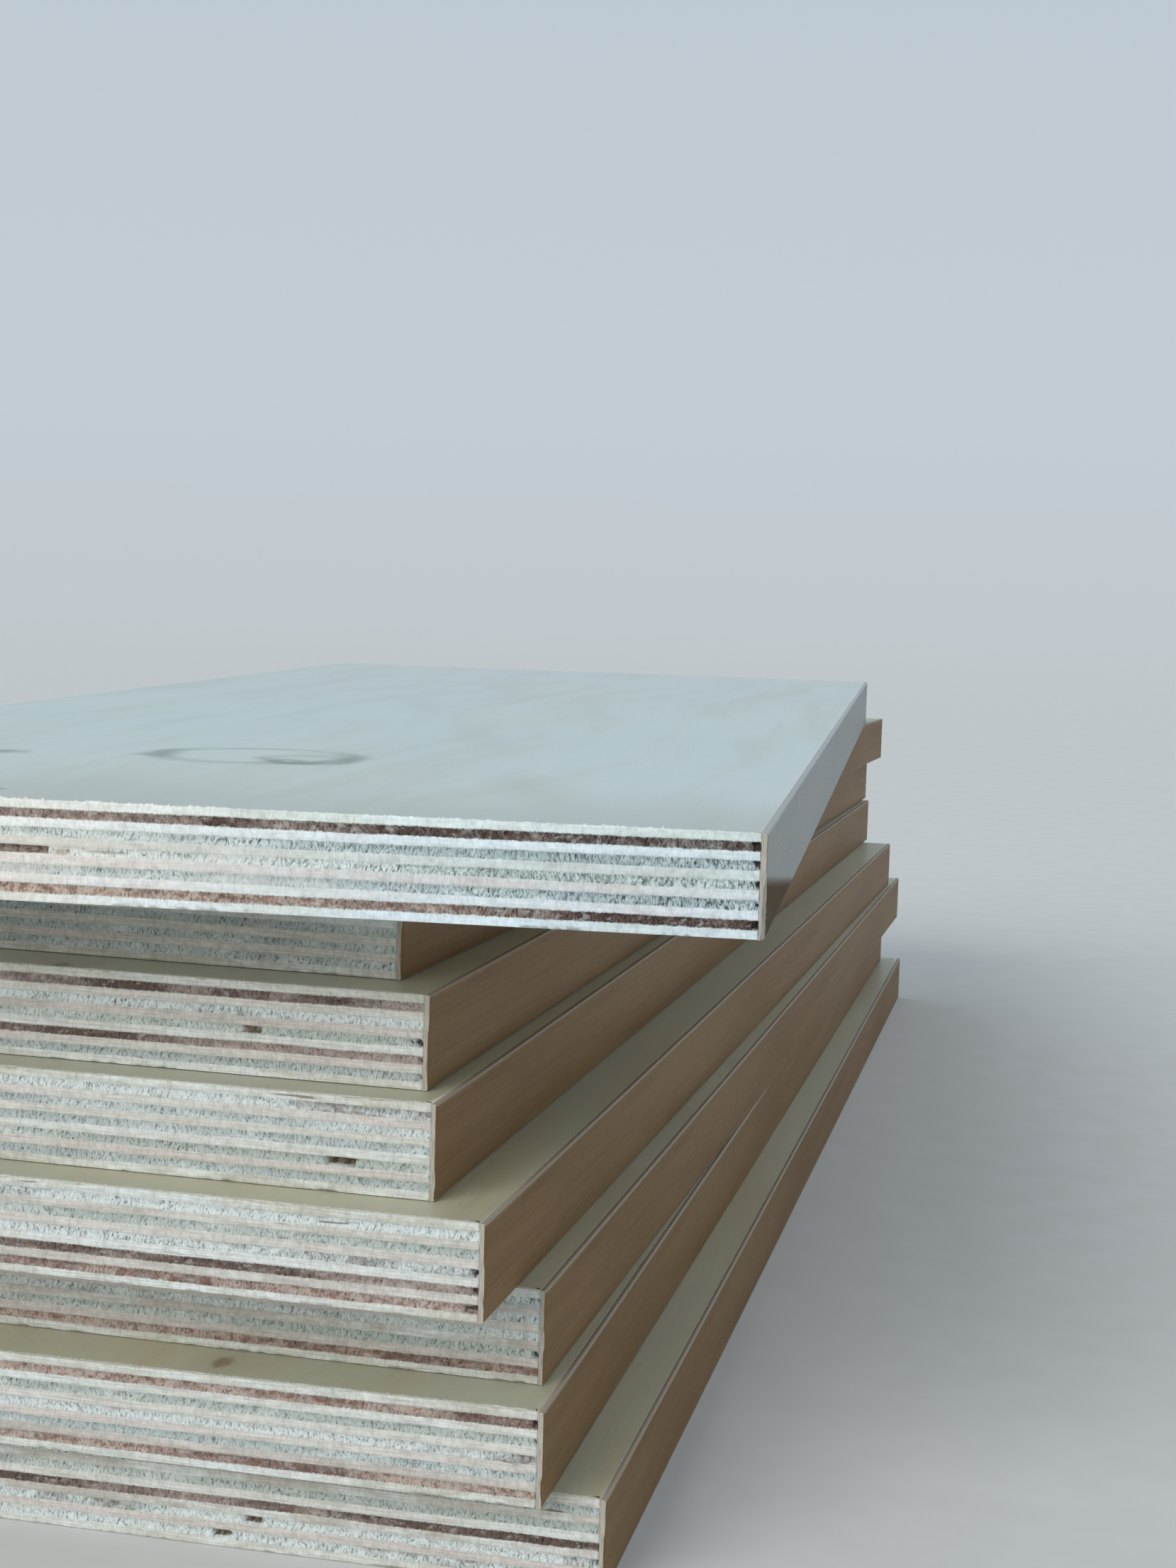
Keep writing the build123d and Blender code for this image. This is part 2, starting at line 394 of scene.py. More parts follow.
# ---------------------------------------------------------------- veneer faces
def face_material(n):
    """The veneer faces of panel n: pale, fine grain along Y, small pips, satin coat."""
    m = bpy.data.materials.new(f"veneer_face_{n}")
    t = Tree(m)
    seed = 31.3 * n
    o = t.new("ShaderNodeTexCoord").outputs["Object"]
    sep = t.new("ShaderNodeSeparateXYZ")
    t.link(o, sep.inputs[0])
    x = t.math("MULTIPLY", sep.outputs[0], 1000.0)
    y = t.math("MULTIPLY", sep.outputs[1], 1000.0)
    up = t.math("SIGN", t.math("SUBTRACT", sep.outputs[2], 0.009))   # unlike on the two faces
    flat = t.xyz(x, y, 0.0)
    off = t.math("MULTIPLY_ADD", up, 3.0, seed)
    bend = t.noise(t.xyz(t.math("MULTIPLY", x, 0.012), t.math("MULTIPLY", y, 0.004), off), 1.0, 2.0, 0.5)
    xw = t.math("ADD", x, t.math("MULTIPLY_ADD", bend, 60.0, -30.0))
    figure = t.noise(t.xyz(t.math("MULTIPLY", xw, 0.075), t.math("MULTIPLY", y, 0.006), off), 1.0, 3.0, 0.55)
    fine = t.noise(t.xyz(t.math("MULTIPLY", xw, 1.9), t.math("MULTIPLY", y, 0.035), off), 1.0, 4.0, 0.6)
    flecks = t.noise(t.xyz(t.math("MULTIPLY", x, 2.6), t.math("MULTIPLY", y, 0.32), off), 1.0, 2.0, 0.5)
    cloud = t.noise(t.xyz(t.math("MULTIPLY", x, 0.014), t.math("MULTIPLY", y, 0.006), t.math("ADD", off, 9.0)), 1.0, 2.0, 0.5)
    # panel 8's face has the lit tone; the lower panels' same veneer is painted darker and yellower as painted shade
    if n == 8:
        pale, warm, cool = srgb(220, 213, 193), srgb(206, 193, 164), srgb(217, 212, 197)
    else:
        pale, warm, cool = srgb(194, 187, 158), srgb(186, 171, 136), srgb(182, 180, 156)
    color = t.mix(t.span(cloud, 0.32, 0.68), pale, cool)
    color = t.mix(t.span(figure, 0.42, 0.70, 0.0, 0.55), color, warm)
    shade = t.math("MULTIPLY", t.span(fine, 0.25, 0.75, 0.93, 1.05, soft=False), t.span(flecks, 0.3, 0.7, 0.97, 1.02, soft=False))
    color = t.scale_color(color, shade)
    # pips: a few cells have one
    v = t.new("ShaderNodeTexVoronoi", voronoi_dimensions="2D", feature="F1")
    v.inputs["Scale"].default_value = 1.0
    v.inputs["Randomness"].default_value = 1.0
    t.link(t.xyz(t.math("MULTIPLY_ADD", x, 1 / 74.0, off), t.math("MULTIPLY_ADD", y, 1 / 115.0, off), 0.0), v.inputs["Vector"])
    wob = t.noise(t.xyz(t.math("MULTIPLY", x, 0.5), t.math("MULTIPLY", y, 0.2), off), 1.0, 2.0, 0.5)
    reach = t.math("ADD", v.outputs["Distance"], t.math("MULTIPLY_ADD", wob, 0.03, -0.015))
    pick = t.new("ShaderNodeSeparateColor")
    t.link(v.outputs["Color"], pick.inputs[0])
    some = t.math("GREATER_THAN", pick.outputs[0], 2.0 if n == 8 else 0.70)
    color = t.mix(t.math("MULTIPLY", some, t.span(reach, 0.012, 0.035, 0.8, 0.0)), color, srgb(120, 92, 58))
    color = t.mix(t.math("MULTIPLY", some, t.span(reach, 0.02, 0.12, 0.22, 0.0)), color, srgb(150, 128, 88))
    ink = srgb(120, 102, 22)
    stir = t.noise(t.xyz(t.math("MULTIPLY", x, 0.35), t.math("MULTIPLY", y, 0.18), 21.0), 1.0, 3.0, 0.6)
    stir_b = t.noise(t.xyz(t.math("MULTIPLY", x, 0.35), t.math("MULTIPLY", y, 0.18), 27.0), 1.0, 3.0, 0.6)
    loose = t.xyz(t.math("ADD", x, t.math("MULTIPLY_ADD", stir, 7.0, -3.5)), t.math("ADD", y, t.math("MULTIPLY_ADD", stir_b, 9.0, -4.5)), 0.0)
    if n == 8:
        # painted shade: darker and warmer toward both ends
        painted_end_shade = t.math("ADD", y, t.math("MULTIPLY_ADD", bend, 90.0, -45.0))
        color = t.mix(t.span(painted_end_shade, 230.0, 480.0), color, srgb(254, 249, 247), "MULTIPLY")
        painted_end_shade = t.math("MULTIPLY", t.span(painted_end_shade, 85.0, -10.0, 0.0, 0.60), t.span(x, -200.0, -60.0, 0.6, 1.0))
        color = t.mix(painted_end_shade, color, srgb(182, 165, 141))
        # a nested ring figure near the middle of the width and two small dark marks
        ripple = t.noise(t.xyz(t.math("MULTIPLY", x, 0.05), t.math("MULTIPLY", y, 0.04), 4.0), 1.0, 2.0, 0.5)
        for cx, cy, hx, hy, turn, r0, w, k in (
            (-121.0, 112.0, 27.0, 25.0, 28.0, 0.80, 0.20, 0.84),
            (-108.0, 107.0, 12.5, 15.0, 24.0, 0.72, 0.34, 0.92),
            (-111.0, 101.0, 5.5, 7.0, 24.0, 0.50, 0.55, 0.95),
        ):
            g = t.new("ShaderNodeMapping", vector_type="TEXTURE")
            t.link(flat, g.inputs["Vector"])
            g.inputs["Location"].default_value = (cx, cy, 0)
            g.inputs["Rotation"].default_value = (0, 0, math.radians(turn))
            g.inputs["Scale"].default_value = (hx, hy, 1)
            d = t.new("ShaderNodeVectorMath", operation="LENGTH")
            t.link(g.outputs[0], d.inputs[0])
            r = t.math("ADD", d.outputs["Value"], t.math("MULTIPLY_ADD", ripple, 0.30, -0.15))
            ring = t.math("ABSOLUTE", t.math("SUBTRACT", r, r0))
            broken = t.span(t.noise(t.xyz(t.math("MULTIPLY", x, 0.05), t.math("MULTIPLY", y, 0.04), cx), 1.0, 2.0, 0.5), 0.35, 0.6, 0.40, 1.0)
            near_side = t.span(y, cy + 0.95 * hy, cy - 0.1 * hy, 0.45, 1.0)
            broken = t.math("MULTIPLY", broken, near_side)
            color = t.mix(t.math("MULTIPLY", broken, t.span(ring, 0.0, w, k, 0.0)), color, ink)
        for cx, cy, hx, hy, turn, k in (
            (-142.0, 104.0, 7.0, 6.0, 10.0, 0.60), (-173.0, 96.0, 8.5, 8.0, 0.0, 0.70), (-141.0, 16.0, 2.8, 3.4, 0.0, 0.80),
            (-100.0, 112.0, 5.0, 9.0, 20.0, 0.35),
        ):
            color, _, _ = mark(t, color, loose, cx, cy, hx, hy, turn, ink, k, 0.1)
        for cx, cy, hx, hy, turn, k in (
            (-132.0, 330.0, 9.0, 60.0, 14.0, 0.36), (-92.0, 212.0, 10.0, 95.0, 16.0, 0.34),
            (-50.0, 60.0, 12.0, 60.0, 18.0, 0.42), (-205.0, 250.0, 8.0, 70.0, -6.0, 0.3),
        ):
            color, _, _ = mark(t, color, flat, cx, cy, hx, hy, turn, srgb(192, 176, 142), k, 0.0)
    if n == 7:
        for cx, cy, hx, hy, turn, k in (
            (-82.0, 199.0, 1.6, 4.0, -30.0, 0.8), (-21.0, 231.0, 3.0, 2.6, 0.0, 0.8), (-27.0, 311.0, 3.0, 4.0, 0.0, 0.7),
            (-87.0, 107.0, 1.8, 2.4, 0.0, 0.8), (-15.0, 30.0, 1.0, 2.6, -20.0, 0.8), (-16.0, 4.5, 1.2, 4.0, -25.0, 0.85),
        ):
            color, _, _ = mark(t, color, flat, cx, cy, hx, hy, turn, ink, k)
    rim = t.attr("rim")
    torn = t.noise(t.xyz(t.math("MULTIPLY", x, 1.5), t.math("MULTIPLY", y, 1.5), 8.0), 1.0, 3.0, 0.65)
    torn = t.math("ADD", torn, t.math("MULTIPLY", t.math("SUBTRACT", 1.6, rim), 0.26))
    color = t.mix(t.span(torn, 0.64, 0.70, 0.0, 0.85), color, srgb(230, 231, 222))
    height = t.math("ADD", t.math("MULTIPLY", fine, 0.6), t.math("MULTIPLY", flecks, 0.4))
    normal = t.bump(height, 0.00005, 0.35)
    wave = t.noise(t.xyz(t.math("MULTIPLY", x, 0.02), t.math("MULTIPLY", y, 0.008), off), 1.0, 1.0, 0.4)
    normal = t.bump(wave, 0.0004, 0.25, normal)
    rough = t.span(fine, 0.3, 0.7, 0.46, 0.56, soft=False)
    t.shader(
        color, rough, normal, Specular_IOR_Level=0.4, Coat_Weight=0.35, Coat_Roughness=0.28, Coat_IOR=1.45,
        Sheen_Weight=0.30 if n == 8 else 0.08, Sheen_Roughness=0.40, Sheen_Tint=(0.24, 0.72, 1.0, 1.0),
    )
    return m


# ---------------------------------------------------------------- edge band
def dark_reflection_at(y, z):
    """How near a spot of the top panel's band is to its lower near corner, where a dark reflection is painted: under 1
    is inside it.
    """
    return y / 82.0 + z / 10.2


def band_material(name, tones, level, shine, bloom, painted_dark_corner=False):
    m = bpy.data.materials.new(name)
    t = Tree(m)
    o = t.new("ShaderNodeTexCoord").outputs["Object"]
    sep = t.new("ShaderNodeSeparateXYZ")
    t.link(o, sep.inputs[0])
    y = t.math("MULTIPLY", sep.outputs[1], 1000.0)
    z = t.math("MULTIPLY", sep.outputs[2], 1000.0)
    streak = t.noise(t.xyz(t.math("MULTIPLY", y, 0.02), t.math("MULTIPLY", z, 1.6), 2.0), 1.0, 4.0, 0.6)
    cloud = t.noise(t.xyz(t.math("MULTIPLY", y, 0.008), t.math("MULTIPLY", z, 0.12), 7.0), 1.0, 2.0, 0.5)
    color = t.mix(t.span(streak, 0.3, 0.7), tones[0], tones[1])
    color = t.mix(t.span(cloud, 0.35, 0.65, 0.0, 0.5), color, tones[2])
    scuff = t.noise(t.xyz(t.math("MULTIPLY", y, 0.35), t.math("MULTIPLY", z, 0.9), 11.0), 1.0, 5.0, 0.7)
    rough = t.span(scuff, 0.45, 0.75, shine, shine + (0.03 if painted_dark_corner else 0.12), soft=False)
    if painted_dark_corner:
        # painted dark reflection at its lower near corner: darker, streaked and without its gloss
        near = t.math("ADD", dark_reflection_at_nodes(t, y, z), t.math("MULTIPLY_ADD", scuff, 0.12, -0.06))
        dark_corner_mask = t.span(near, 1.10, 0.86)
        corner_streak = t.noise(t.xyz(t.math("MULTIPLY", y, 0.9), t.math("MULTIPLY", z, 0.16), 17.0), 1.0, 4.0, 0.65)
        color = t.mix(t.math("MULTIPLY", dark_corner_mask, 0.9), color, t.mix(t.span(corner_streak, 0.38, 0.62), srgb(72, 57, 33), srgb(92, 76, 52)))
        rough = t.math("MULTIPLY_ADD", dark_corner_mask, 0.50, rough)
    # painted highlight: a paler line along both arrises of the strip
    low_line, high_line = t.span(z, 0.42, 0.22), t.span(z, THICK - 0.48, THICK - 0.30)
    arris_highlight = t.math("MULTIPLY", t.math("MAXIMUM", low_line, high_line), t.span(scuff, 0.25, 0.45, 0.40, 0.85))
    color = t.mix(arris_highlight, color, srgb(172, 164, 150))
    ripple = t.noise(t.xyz(t.math("MULTIPLY", y, 0.05), t.math("MULTIPLY", z, 0.22), 5.0), 1.0, 2.0, 0.5)
    normal = t.bump(ripple, 0.0003, 0.03 if painted_dark_corner else 0.10)
    t.shader(color, rough, normal, Specular_IOR_Level=level, Sheen_Weight=bloom, Sheen_Roughness=0.30, Sheen_Tint=(0.20, 0.40, 0.53, 1.0))
    return m


def dark_reflection_at_nodes(t, y, z):
    """The corner reach of the painted dark reflection, in shader nodes."""
    return t.math("ADD", t.math("DIVIDE", y, 82.0), t.math("DIVIDE", z, 10.2))


def band_end_material():
    """The trimmed ends and scraped corners of the edge bands: paler and matt."""
    m = bpy.data.materials.new("edge_band_cut")
    t = Tree(m)
    o = t.new("ShaderNodeTexCoord").outputs["Object"]
    sep = t.new("ShaderNodeSeparateXYZ")
    t.link(o, sep.inputs[0])
    x = t.math("MULTIPLY", sep.outputs[0], 1000.0)
    z = t.math("MULTIPLY", sep.outputs[2], 1000.0)
    lines = t.noise(t.xyz(t.math("MULTIPLY", x, 5.0), t.math("MULTIPLY", z, 0.35), 3.0), 1.0, 3.0, 0.6)
    color = t.mix(t.span(lines, 0.35, 0.65), srgb(185, 179, 166), srgb(160, 153, 140))
    normal = t.bump(lines, 0.00005, 0.3)
    t.shader(color, 0.55, normal, Specular_IOR_Level=0.35)
    return m


# ---------------------------------------------------------------- meshes
def mesh_object(name, verts_mm, quads, ngons, quad_material, quad_smooth, attributes, materials, matrix):
    me = bpy.data.meshes.new(name)
    quads = np.asarray(quads, np.int32)
    sizes = np.concatenate([np.full(len(quads), 4, np.int32), np.array([len(g[0]) for g in ngons], np.int32)])
    loops = np.concatenate([quads.ravel()] + [np.array(g[0], np.int32) for g in ngons])
    me.vertices.add(len(verts_mm))
    me.vertices.foreach_set("co", (np.asarray(verts_mm, float) * 0.001).astype(np.float32).ravel())
    me.loops.add(len(loops))
    me.loops.foreach_set("vertex_index", loops)
    me.polygons.add(len(sizes))
    starts = np.concatenate([[0], np.cumsum(sizes)[:-1]]).astype(np.int32)
    me.polygons.foreach_set("loop_start", starts)
    me.polygons.foreach_set("material_index", np.concatenate([quad_material, [g[1] for g in ngons]]).astype(np.int32))
    me.polygons.foreach_set("use_smooth", np.concatenate([quad_smooth, [False] * len(ngons)]).astype(bool))
    for key, values in attributes.items():
        a = me.attributes.new(key, "FLOAT", "POINT")
        a.data.foreach_set("value", np.asarray(values, np.float32))
    for mat in materials:
        me.materials.append(mat)
    me.update(calc_edges=True)
    me.validate()
    o = bpy.data.objects.new(name, me)
    bpy.context.scene.collection.objects.link(o)
    o.matrix_world = matrix
    return o


def placement(n):
    """Panel n's own frame, in metres."""
    x, y, turn = PANELS[n - 1]
    return Matrix.Translation(((x - MID_X) / 1000, (y - MID_Y) / 1000, (n - 1) * THICK / 1000)) @ Matrix.Rotation(
        math.radians(turn), 4, "Z"
    )


# Gaps in a ply: from, to in millimetres across the front, ply counted from 0 at the top, depth
GAPS = {8: [(-150.0, -125.0, 5, 1.4)], 7: [(-97.0, -90.0, 1, 1.2), (-84.0, -79.5, 1, 1.6)]}


def core_object(n, mats):
    seed = 1000 * n
    rng = np.random.default_rng(seed)
    x0, x1 = -WIDTH, -BAND
    fine = {8: 0.36, 7: 0.5}.get(n, 0.65)

    def steps(a, b, size):
        return np.linspace(a, b, int(round(abs(b - a) / size)) + 1)[:-1]

    mid = LENGTH / 2
    cols = []                                     # x, y, outward normal, side flag
    for y in steps(mid, LENGTH, 12.0):
        cols.append((x1, y, 1, 0, 1))
    for x in steps(x1, x0, 1.4):
        cols.append((x, LENGTH, 0, 1, 0))
    for y in steps(LENGTH, 0, 2.0):
        cols.append((x0, y, -1, 0, 1))
    front_at = len(cols)
    close = -9.0 if n == 8 else -4.0
    for x in np.concatenate([steps(x0, close, fine), steps(close, x1, 0.22 if n == 8 else 0.45)]):
        cols.append((x, 0.0, 0, -1, 0))
    front_to = len(cols)
    for y in steps(0, mid, 12.0):
        cols.append((x1, y, 1, 0, 1))
    cols = np.array(cols, float)
    count = len(cols)
    nxt = np.roll(cols[:, :2], -1, 0)
    gaps = np.hypot(*(nxt - cols[:, :2]).T)
    run = np.concatenate([[0], np.cumsum(gaps)[:-1]])
    normal, side = cols[:, 2:4].copy(), cols[:, 4]
    # a corner column turns both ways
    for c in range(count):
        p = normal[c - 1]
        if not np.allclose(p, normal[c]):
            normal[c] = (normal[c] + p)
            normal[c] /= max(abs(normal[c]))
    # ply borders from the top down, each veneer a little thicker or thinner
    thick = THICK / PLIES * (1 + 0.10 * (rng.random(PLIES) - 0.5))
    thick *= THICK / thick.sum()
    border = np.concatenate([[0], np.cumsum(thick)])
    part = np.array([0.0, 0.14, 0.5, 0.86])
    ply = np.concatenate([(k + part) for k in range(PLIES)] + [[PLIES]])
    rows = len(ply)
    depth_z = np.interp(ply, np.arange(PLIES + 1), border)         # below the upper face
    S, P = np.meshgrid(run, ply)
    side_of = np.broadcast_to(side, S.shape)
    hump = np.sin(np.pi * P / PLIES)
    wave = 0.20 * hump * (noise2(S / 38.0, P * 0.35, seed + 1) * 2 - 1) + 0.07 * hump * (noise2(S / 9.0, P * 0.8, seed + 2) * 2 - 1)
    Z = THICK - np.interp(P, np.arange(PLIES + 1), border) + wave
    k = np.minimum(np.floor(P + 1e-6), PLIES - 1)
    odd = k % 2
    rough = np.abs(odd - side_of)
    inside = ((P % 1) > 0.05) & (P < PLIES)
    # relief, as millimetres cut into the edge
    tone = fbm(S / 1.3, Z / 0.7, seed + 3, 3)
    coarse = noise2(S / 5.0, k * 3.1, seed + 4)
    cut = np.where(rough > 0.5, 0.10 + 0.34 * tone * (0.5 + coarse), 0.04 + 0.07 * fbm(S / 11.0, Z / 0.8, seed + 5, 2))
    near_band = np.where((side_of < 0.5) & (np.arange(count) >= front_at) & (np.arange(count) < front_to), smooth(-9.0, -2.0, cols[:, 0]), 0.0)
    pits = noise2(S / 0.8, Z / 0.7, seed + 6)
    ragged = fbm(S / 0.55 + 0.7 * Z, Z / 0.42 - 0.4 * S, seed + 16, 3)
    reach = 0.7 + 2.2 * noise2(k * 2.3, 4.0, seed + 17) ** 1.5
    middle = 0.30 + 0.40 * noise2(k * 1.7, 6.0, seed + 18)
    into = (x1 - cols[:, 0])[None, :]
    torn = 1.0 - into / reach + 2.2 * (ragged - 0.5) - 1.3 * np.abs((P % 1) - middle)
    scatter = 3.2 * (ragged - 0.5) - 0.50 - 0.13 * into
    torn = np.where(np.broadcast_to(near_band, S.shape) > 0, np.maximum(torn, scatter), -1.0)
    whole = (noise2(k * 4.7, 9.0, seed + 19) > 0.42) if n < 8 else np.zeros(k.shape, bool)
    pit = np.where((rough > 0.5) & inside & ~whole, smooth(0.0, 0.22, torn), 0.0)
    cut = cut + pit * 1.1
    step = noise2(k * 5.3 + side_of * 11, S / 160.0, seed + 7)      # some veneers are cut a little deeper
    cut = cut + 0.10 * step
    cut = np.where(inside, cut, 0.5 * cut + 0.04)
    # gaps where a veneer is missing or its joint stands open
    hollow = np.zeros_like(cut)
    gaps_here = list(GAPS.get(n, []))
    for _ in range(1 + n % 2 if n < 7 else 0):
        a = -20 - 200 * rng.random()
        gaps_here.append((a, a + 3 + 9 * rng.random() ** 2, int(2 * rng.integers(0, 5) + 1), 1.4 + 1.8 * rng.random()))
    X = np.broadcast_to(cols[:, 0], S.shape)
    on_front = np.broadcast_to((np.arange(count) >= front_at) & (np.arange(count) < front_to), S.shape)
    for a, b, which, deep in gaps_here:
        soft_x = smooth(a - 0.4, a + 0.5, X + 0.8 * (pits - 0.5)) * (1 - smooth(b - 0.5, b + 0.4, X + 0.8 * (tone - 0.5)))
        g = np.where(on_front & (k == which) & inside, soft_x, 0.0)
        cut = np.maximum(cut, g * deep * (0.8 + 0.3 * tone))
        hollow = np.maximum(hollow, g)
    for c0 in range(count):                                       # corners stay whole
        if abs(normal[c0]).sum() > 1.5:
            cut[:, c0] = np.minimum(cut[:, c0], 0.12)
    # worn arrises: the two outer rows draw in and break away in small chips
    chip = noise2(S[0] / 0.9, 0.0, seed + 8) * noise2(S[0] / 7.0, 3.0, seed + 9)
    top_drop = 0.05 + 0.34 * smooth(0.30, 0.75, chip)
    chip2 = noise2(S[0] / 1.0, 9.0, seed + 10) * noise2(S[0] / 8.0, 5.0, seed + 11)
    low_rise = 0.05 + 0.30 * smooth(0.30, 0.75, chip2)
    on_right = (cols[:, 0] == x1) & (cols[:, 4] == 1)
    top_drop = np.where(on_right, 0.01, top_drop)
    low_rise = np.where(on_right, 0.01, low_rise)
    Z[0] = THICK - SKIN - top_drop
    if n == 8:
        # saw burr: torn fibres stand above the face along the free sawn edges
        spiky = noise2(S[0] / 0.42, 1.0, seed + 14) ** 1.8 * (0.5 + 0.5 * noise2(S[0] / 5.0, 8.0, seed + 15))
        near_end = (np.arange(count) >= front_at) & (np.arange(count) < front_to)
        Z[0] = np.where(on_right, Z[0], THICK - SKIN - 0.4 * top_drop + np.where(near_end, 0.60, 0.10) * spiky)
    Z[-1] = SKIN + low_rise
    cut[0] = 0.12 + 0.9 * top_drop * (0.4 + 0.6 * noise2(S[0] / 0.7, 2.0, seed + 12))
    cut[-1] = 0.12 + 0.8 * low_rise
    verts = np.zeros((rows, count, 3))
    verts[:, :, 0] = cols[:, 0] - normal[:, 0] * cut
    verts[:, :, 1] = cols[:, 1] - normal[:, 1] * cut
    verts[:, :, 2] = Z
    verts[:, on_right, 0] = x1 - 0.01                              # flat where the band is glued on

    def ring(level, inset, jitter):
        r = np.zeros((count, 3))
        w = inset + jitter * noise2(run / 0.8, level, seed + 13)
        w = np.where(on_right, min(inset, 0.1) if inset < 1 else inset, w)
        r[:, 0] = cols[:, 0] - normal[:, 0] * w
        r[:, 1] = cols[:, 1] - normal[:, 1] * w
        r[:, 2] = level
        return r

    top_z, low_z = THICK - SKIN, SKIN
    rings = [ring(top_z - 0.015, 0.28, 0.35), ring(top_z, 1.6, 0.0), ring(low_z + 0.015, 0.28, 0.30), ring(low_z, 1.6, 0.0)]
    all_verts = np.concatenate([verts.reshape(-1, 3)] + rings)
    base = rows * count
    j = np.arange(count)
    jn = (j + 1) % count
    quads, mat, flat = [], [], []

    def strip(a, b, m):
        """Faces between loop a, above, and loop b, below."""
        q = np.stack([a + j, b + j, b + jn, a + jn], 1)
        quads.append(q)
        mat.append(np.full(count, m))

    for r in range(rows - 1):
        strip(r * count, (r + 1) * count, 0)
    strip(base, 0, 0)                          # outer ring to the upper row
    strip(base + count, base, 1)
    strip((rows - 1) * count, base + 2 * count, 0)
    strip(base + 2 * count, base + 3 * count, 1)
    quads = np.concatenate(quads)
    mat = np.concatenate(mat)
    top = (base + count + j).tolist()
    low = (base + 3 * count + j)[::-1].tolist()
    tile = lambda v: np.tile(v, 4)
    ringed = lambda a, b: np.concatenate([np.full(2 * count, a), np.full(2 * count, b)])
    attributes = {
        "run": np.concatenate([S.ravel(), tile(run)]),
        "height": np.concatenate([Z.ravel(), ringed(THICK, 0.0)]),
        "ply": np.concatenate([P.ravel(), ringed(0.0, 10.9)]),
        "side": np.concatenate([side_of.ravel(), tile(side)]),
        "across": np.concatenate([X.ravel(), tile(cols[:, 0])]),
        "pit": np.concatenate([pit.ravel(), np.zeros(4 * count)]),
        "hollow": np.concatenate([hollow.ravel(), np.zeros(4 * count)]),
        "rim": np.concatenate([np.zeros(rows * count)] + [np.where(on_right, 1.6, v) for v in (0.3, 1.6, 0.3, 1.6)]),
    }
    o = mesh_object(
        f"panel_{n}", all_verts, quads, [(top, 1), (low, 1)], mat, np.ones(len(quads), bool), attributes, mats, placement(n)
    )
    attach(o, "root")
    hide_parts(f"sheet_{n}")
    return o


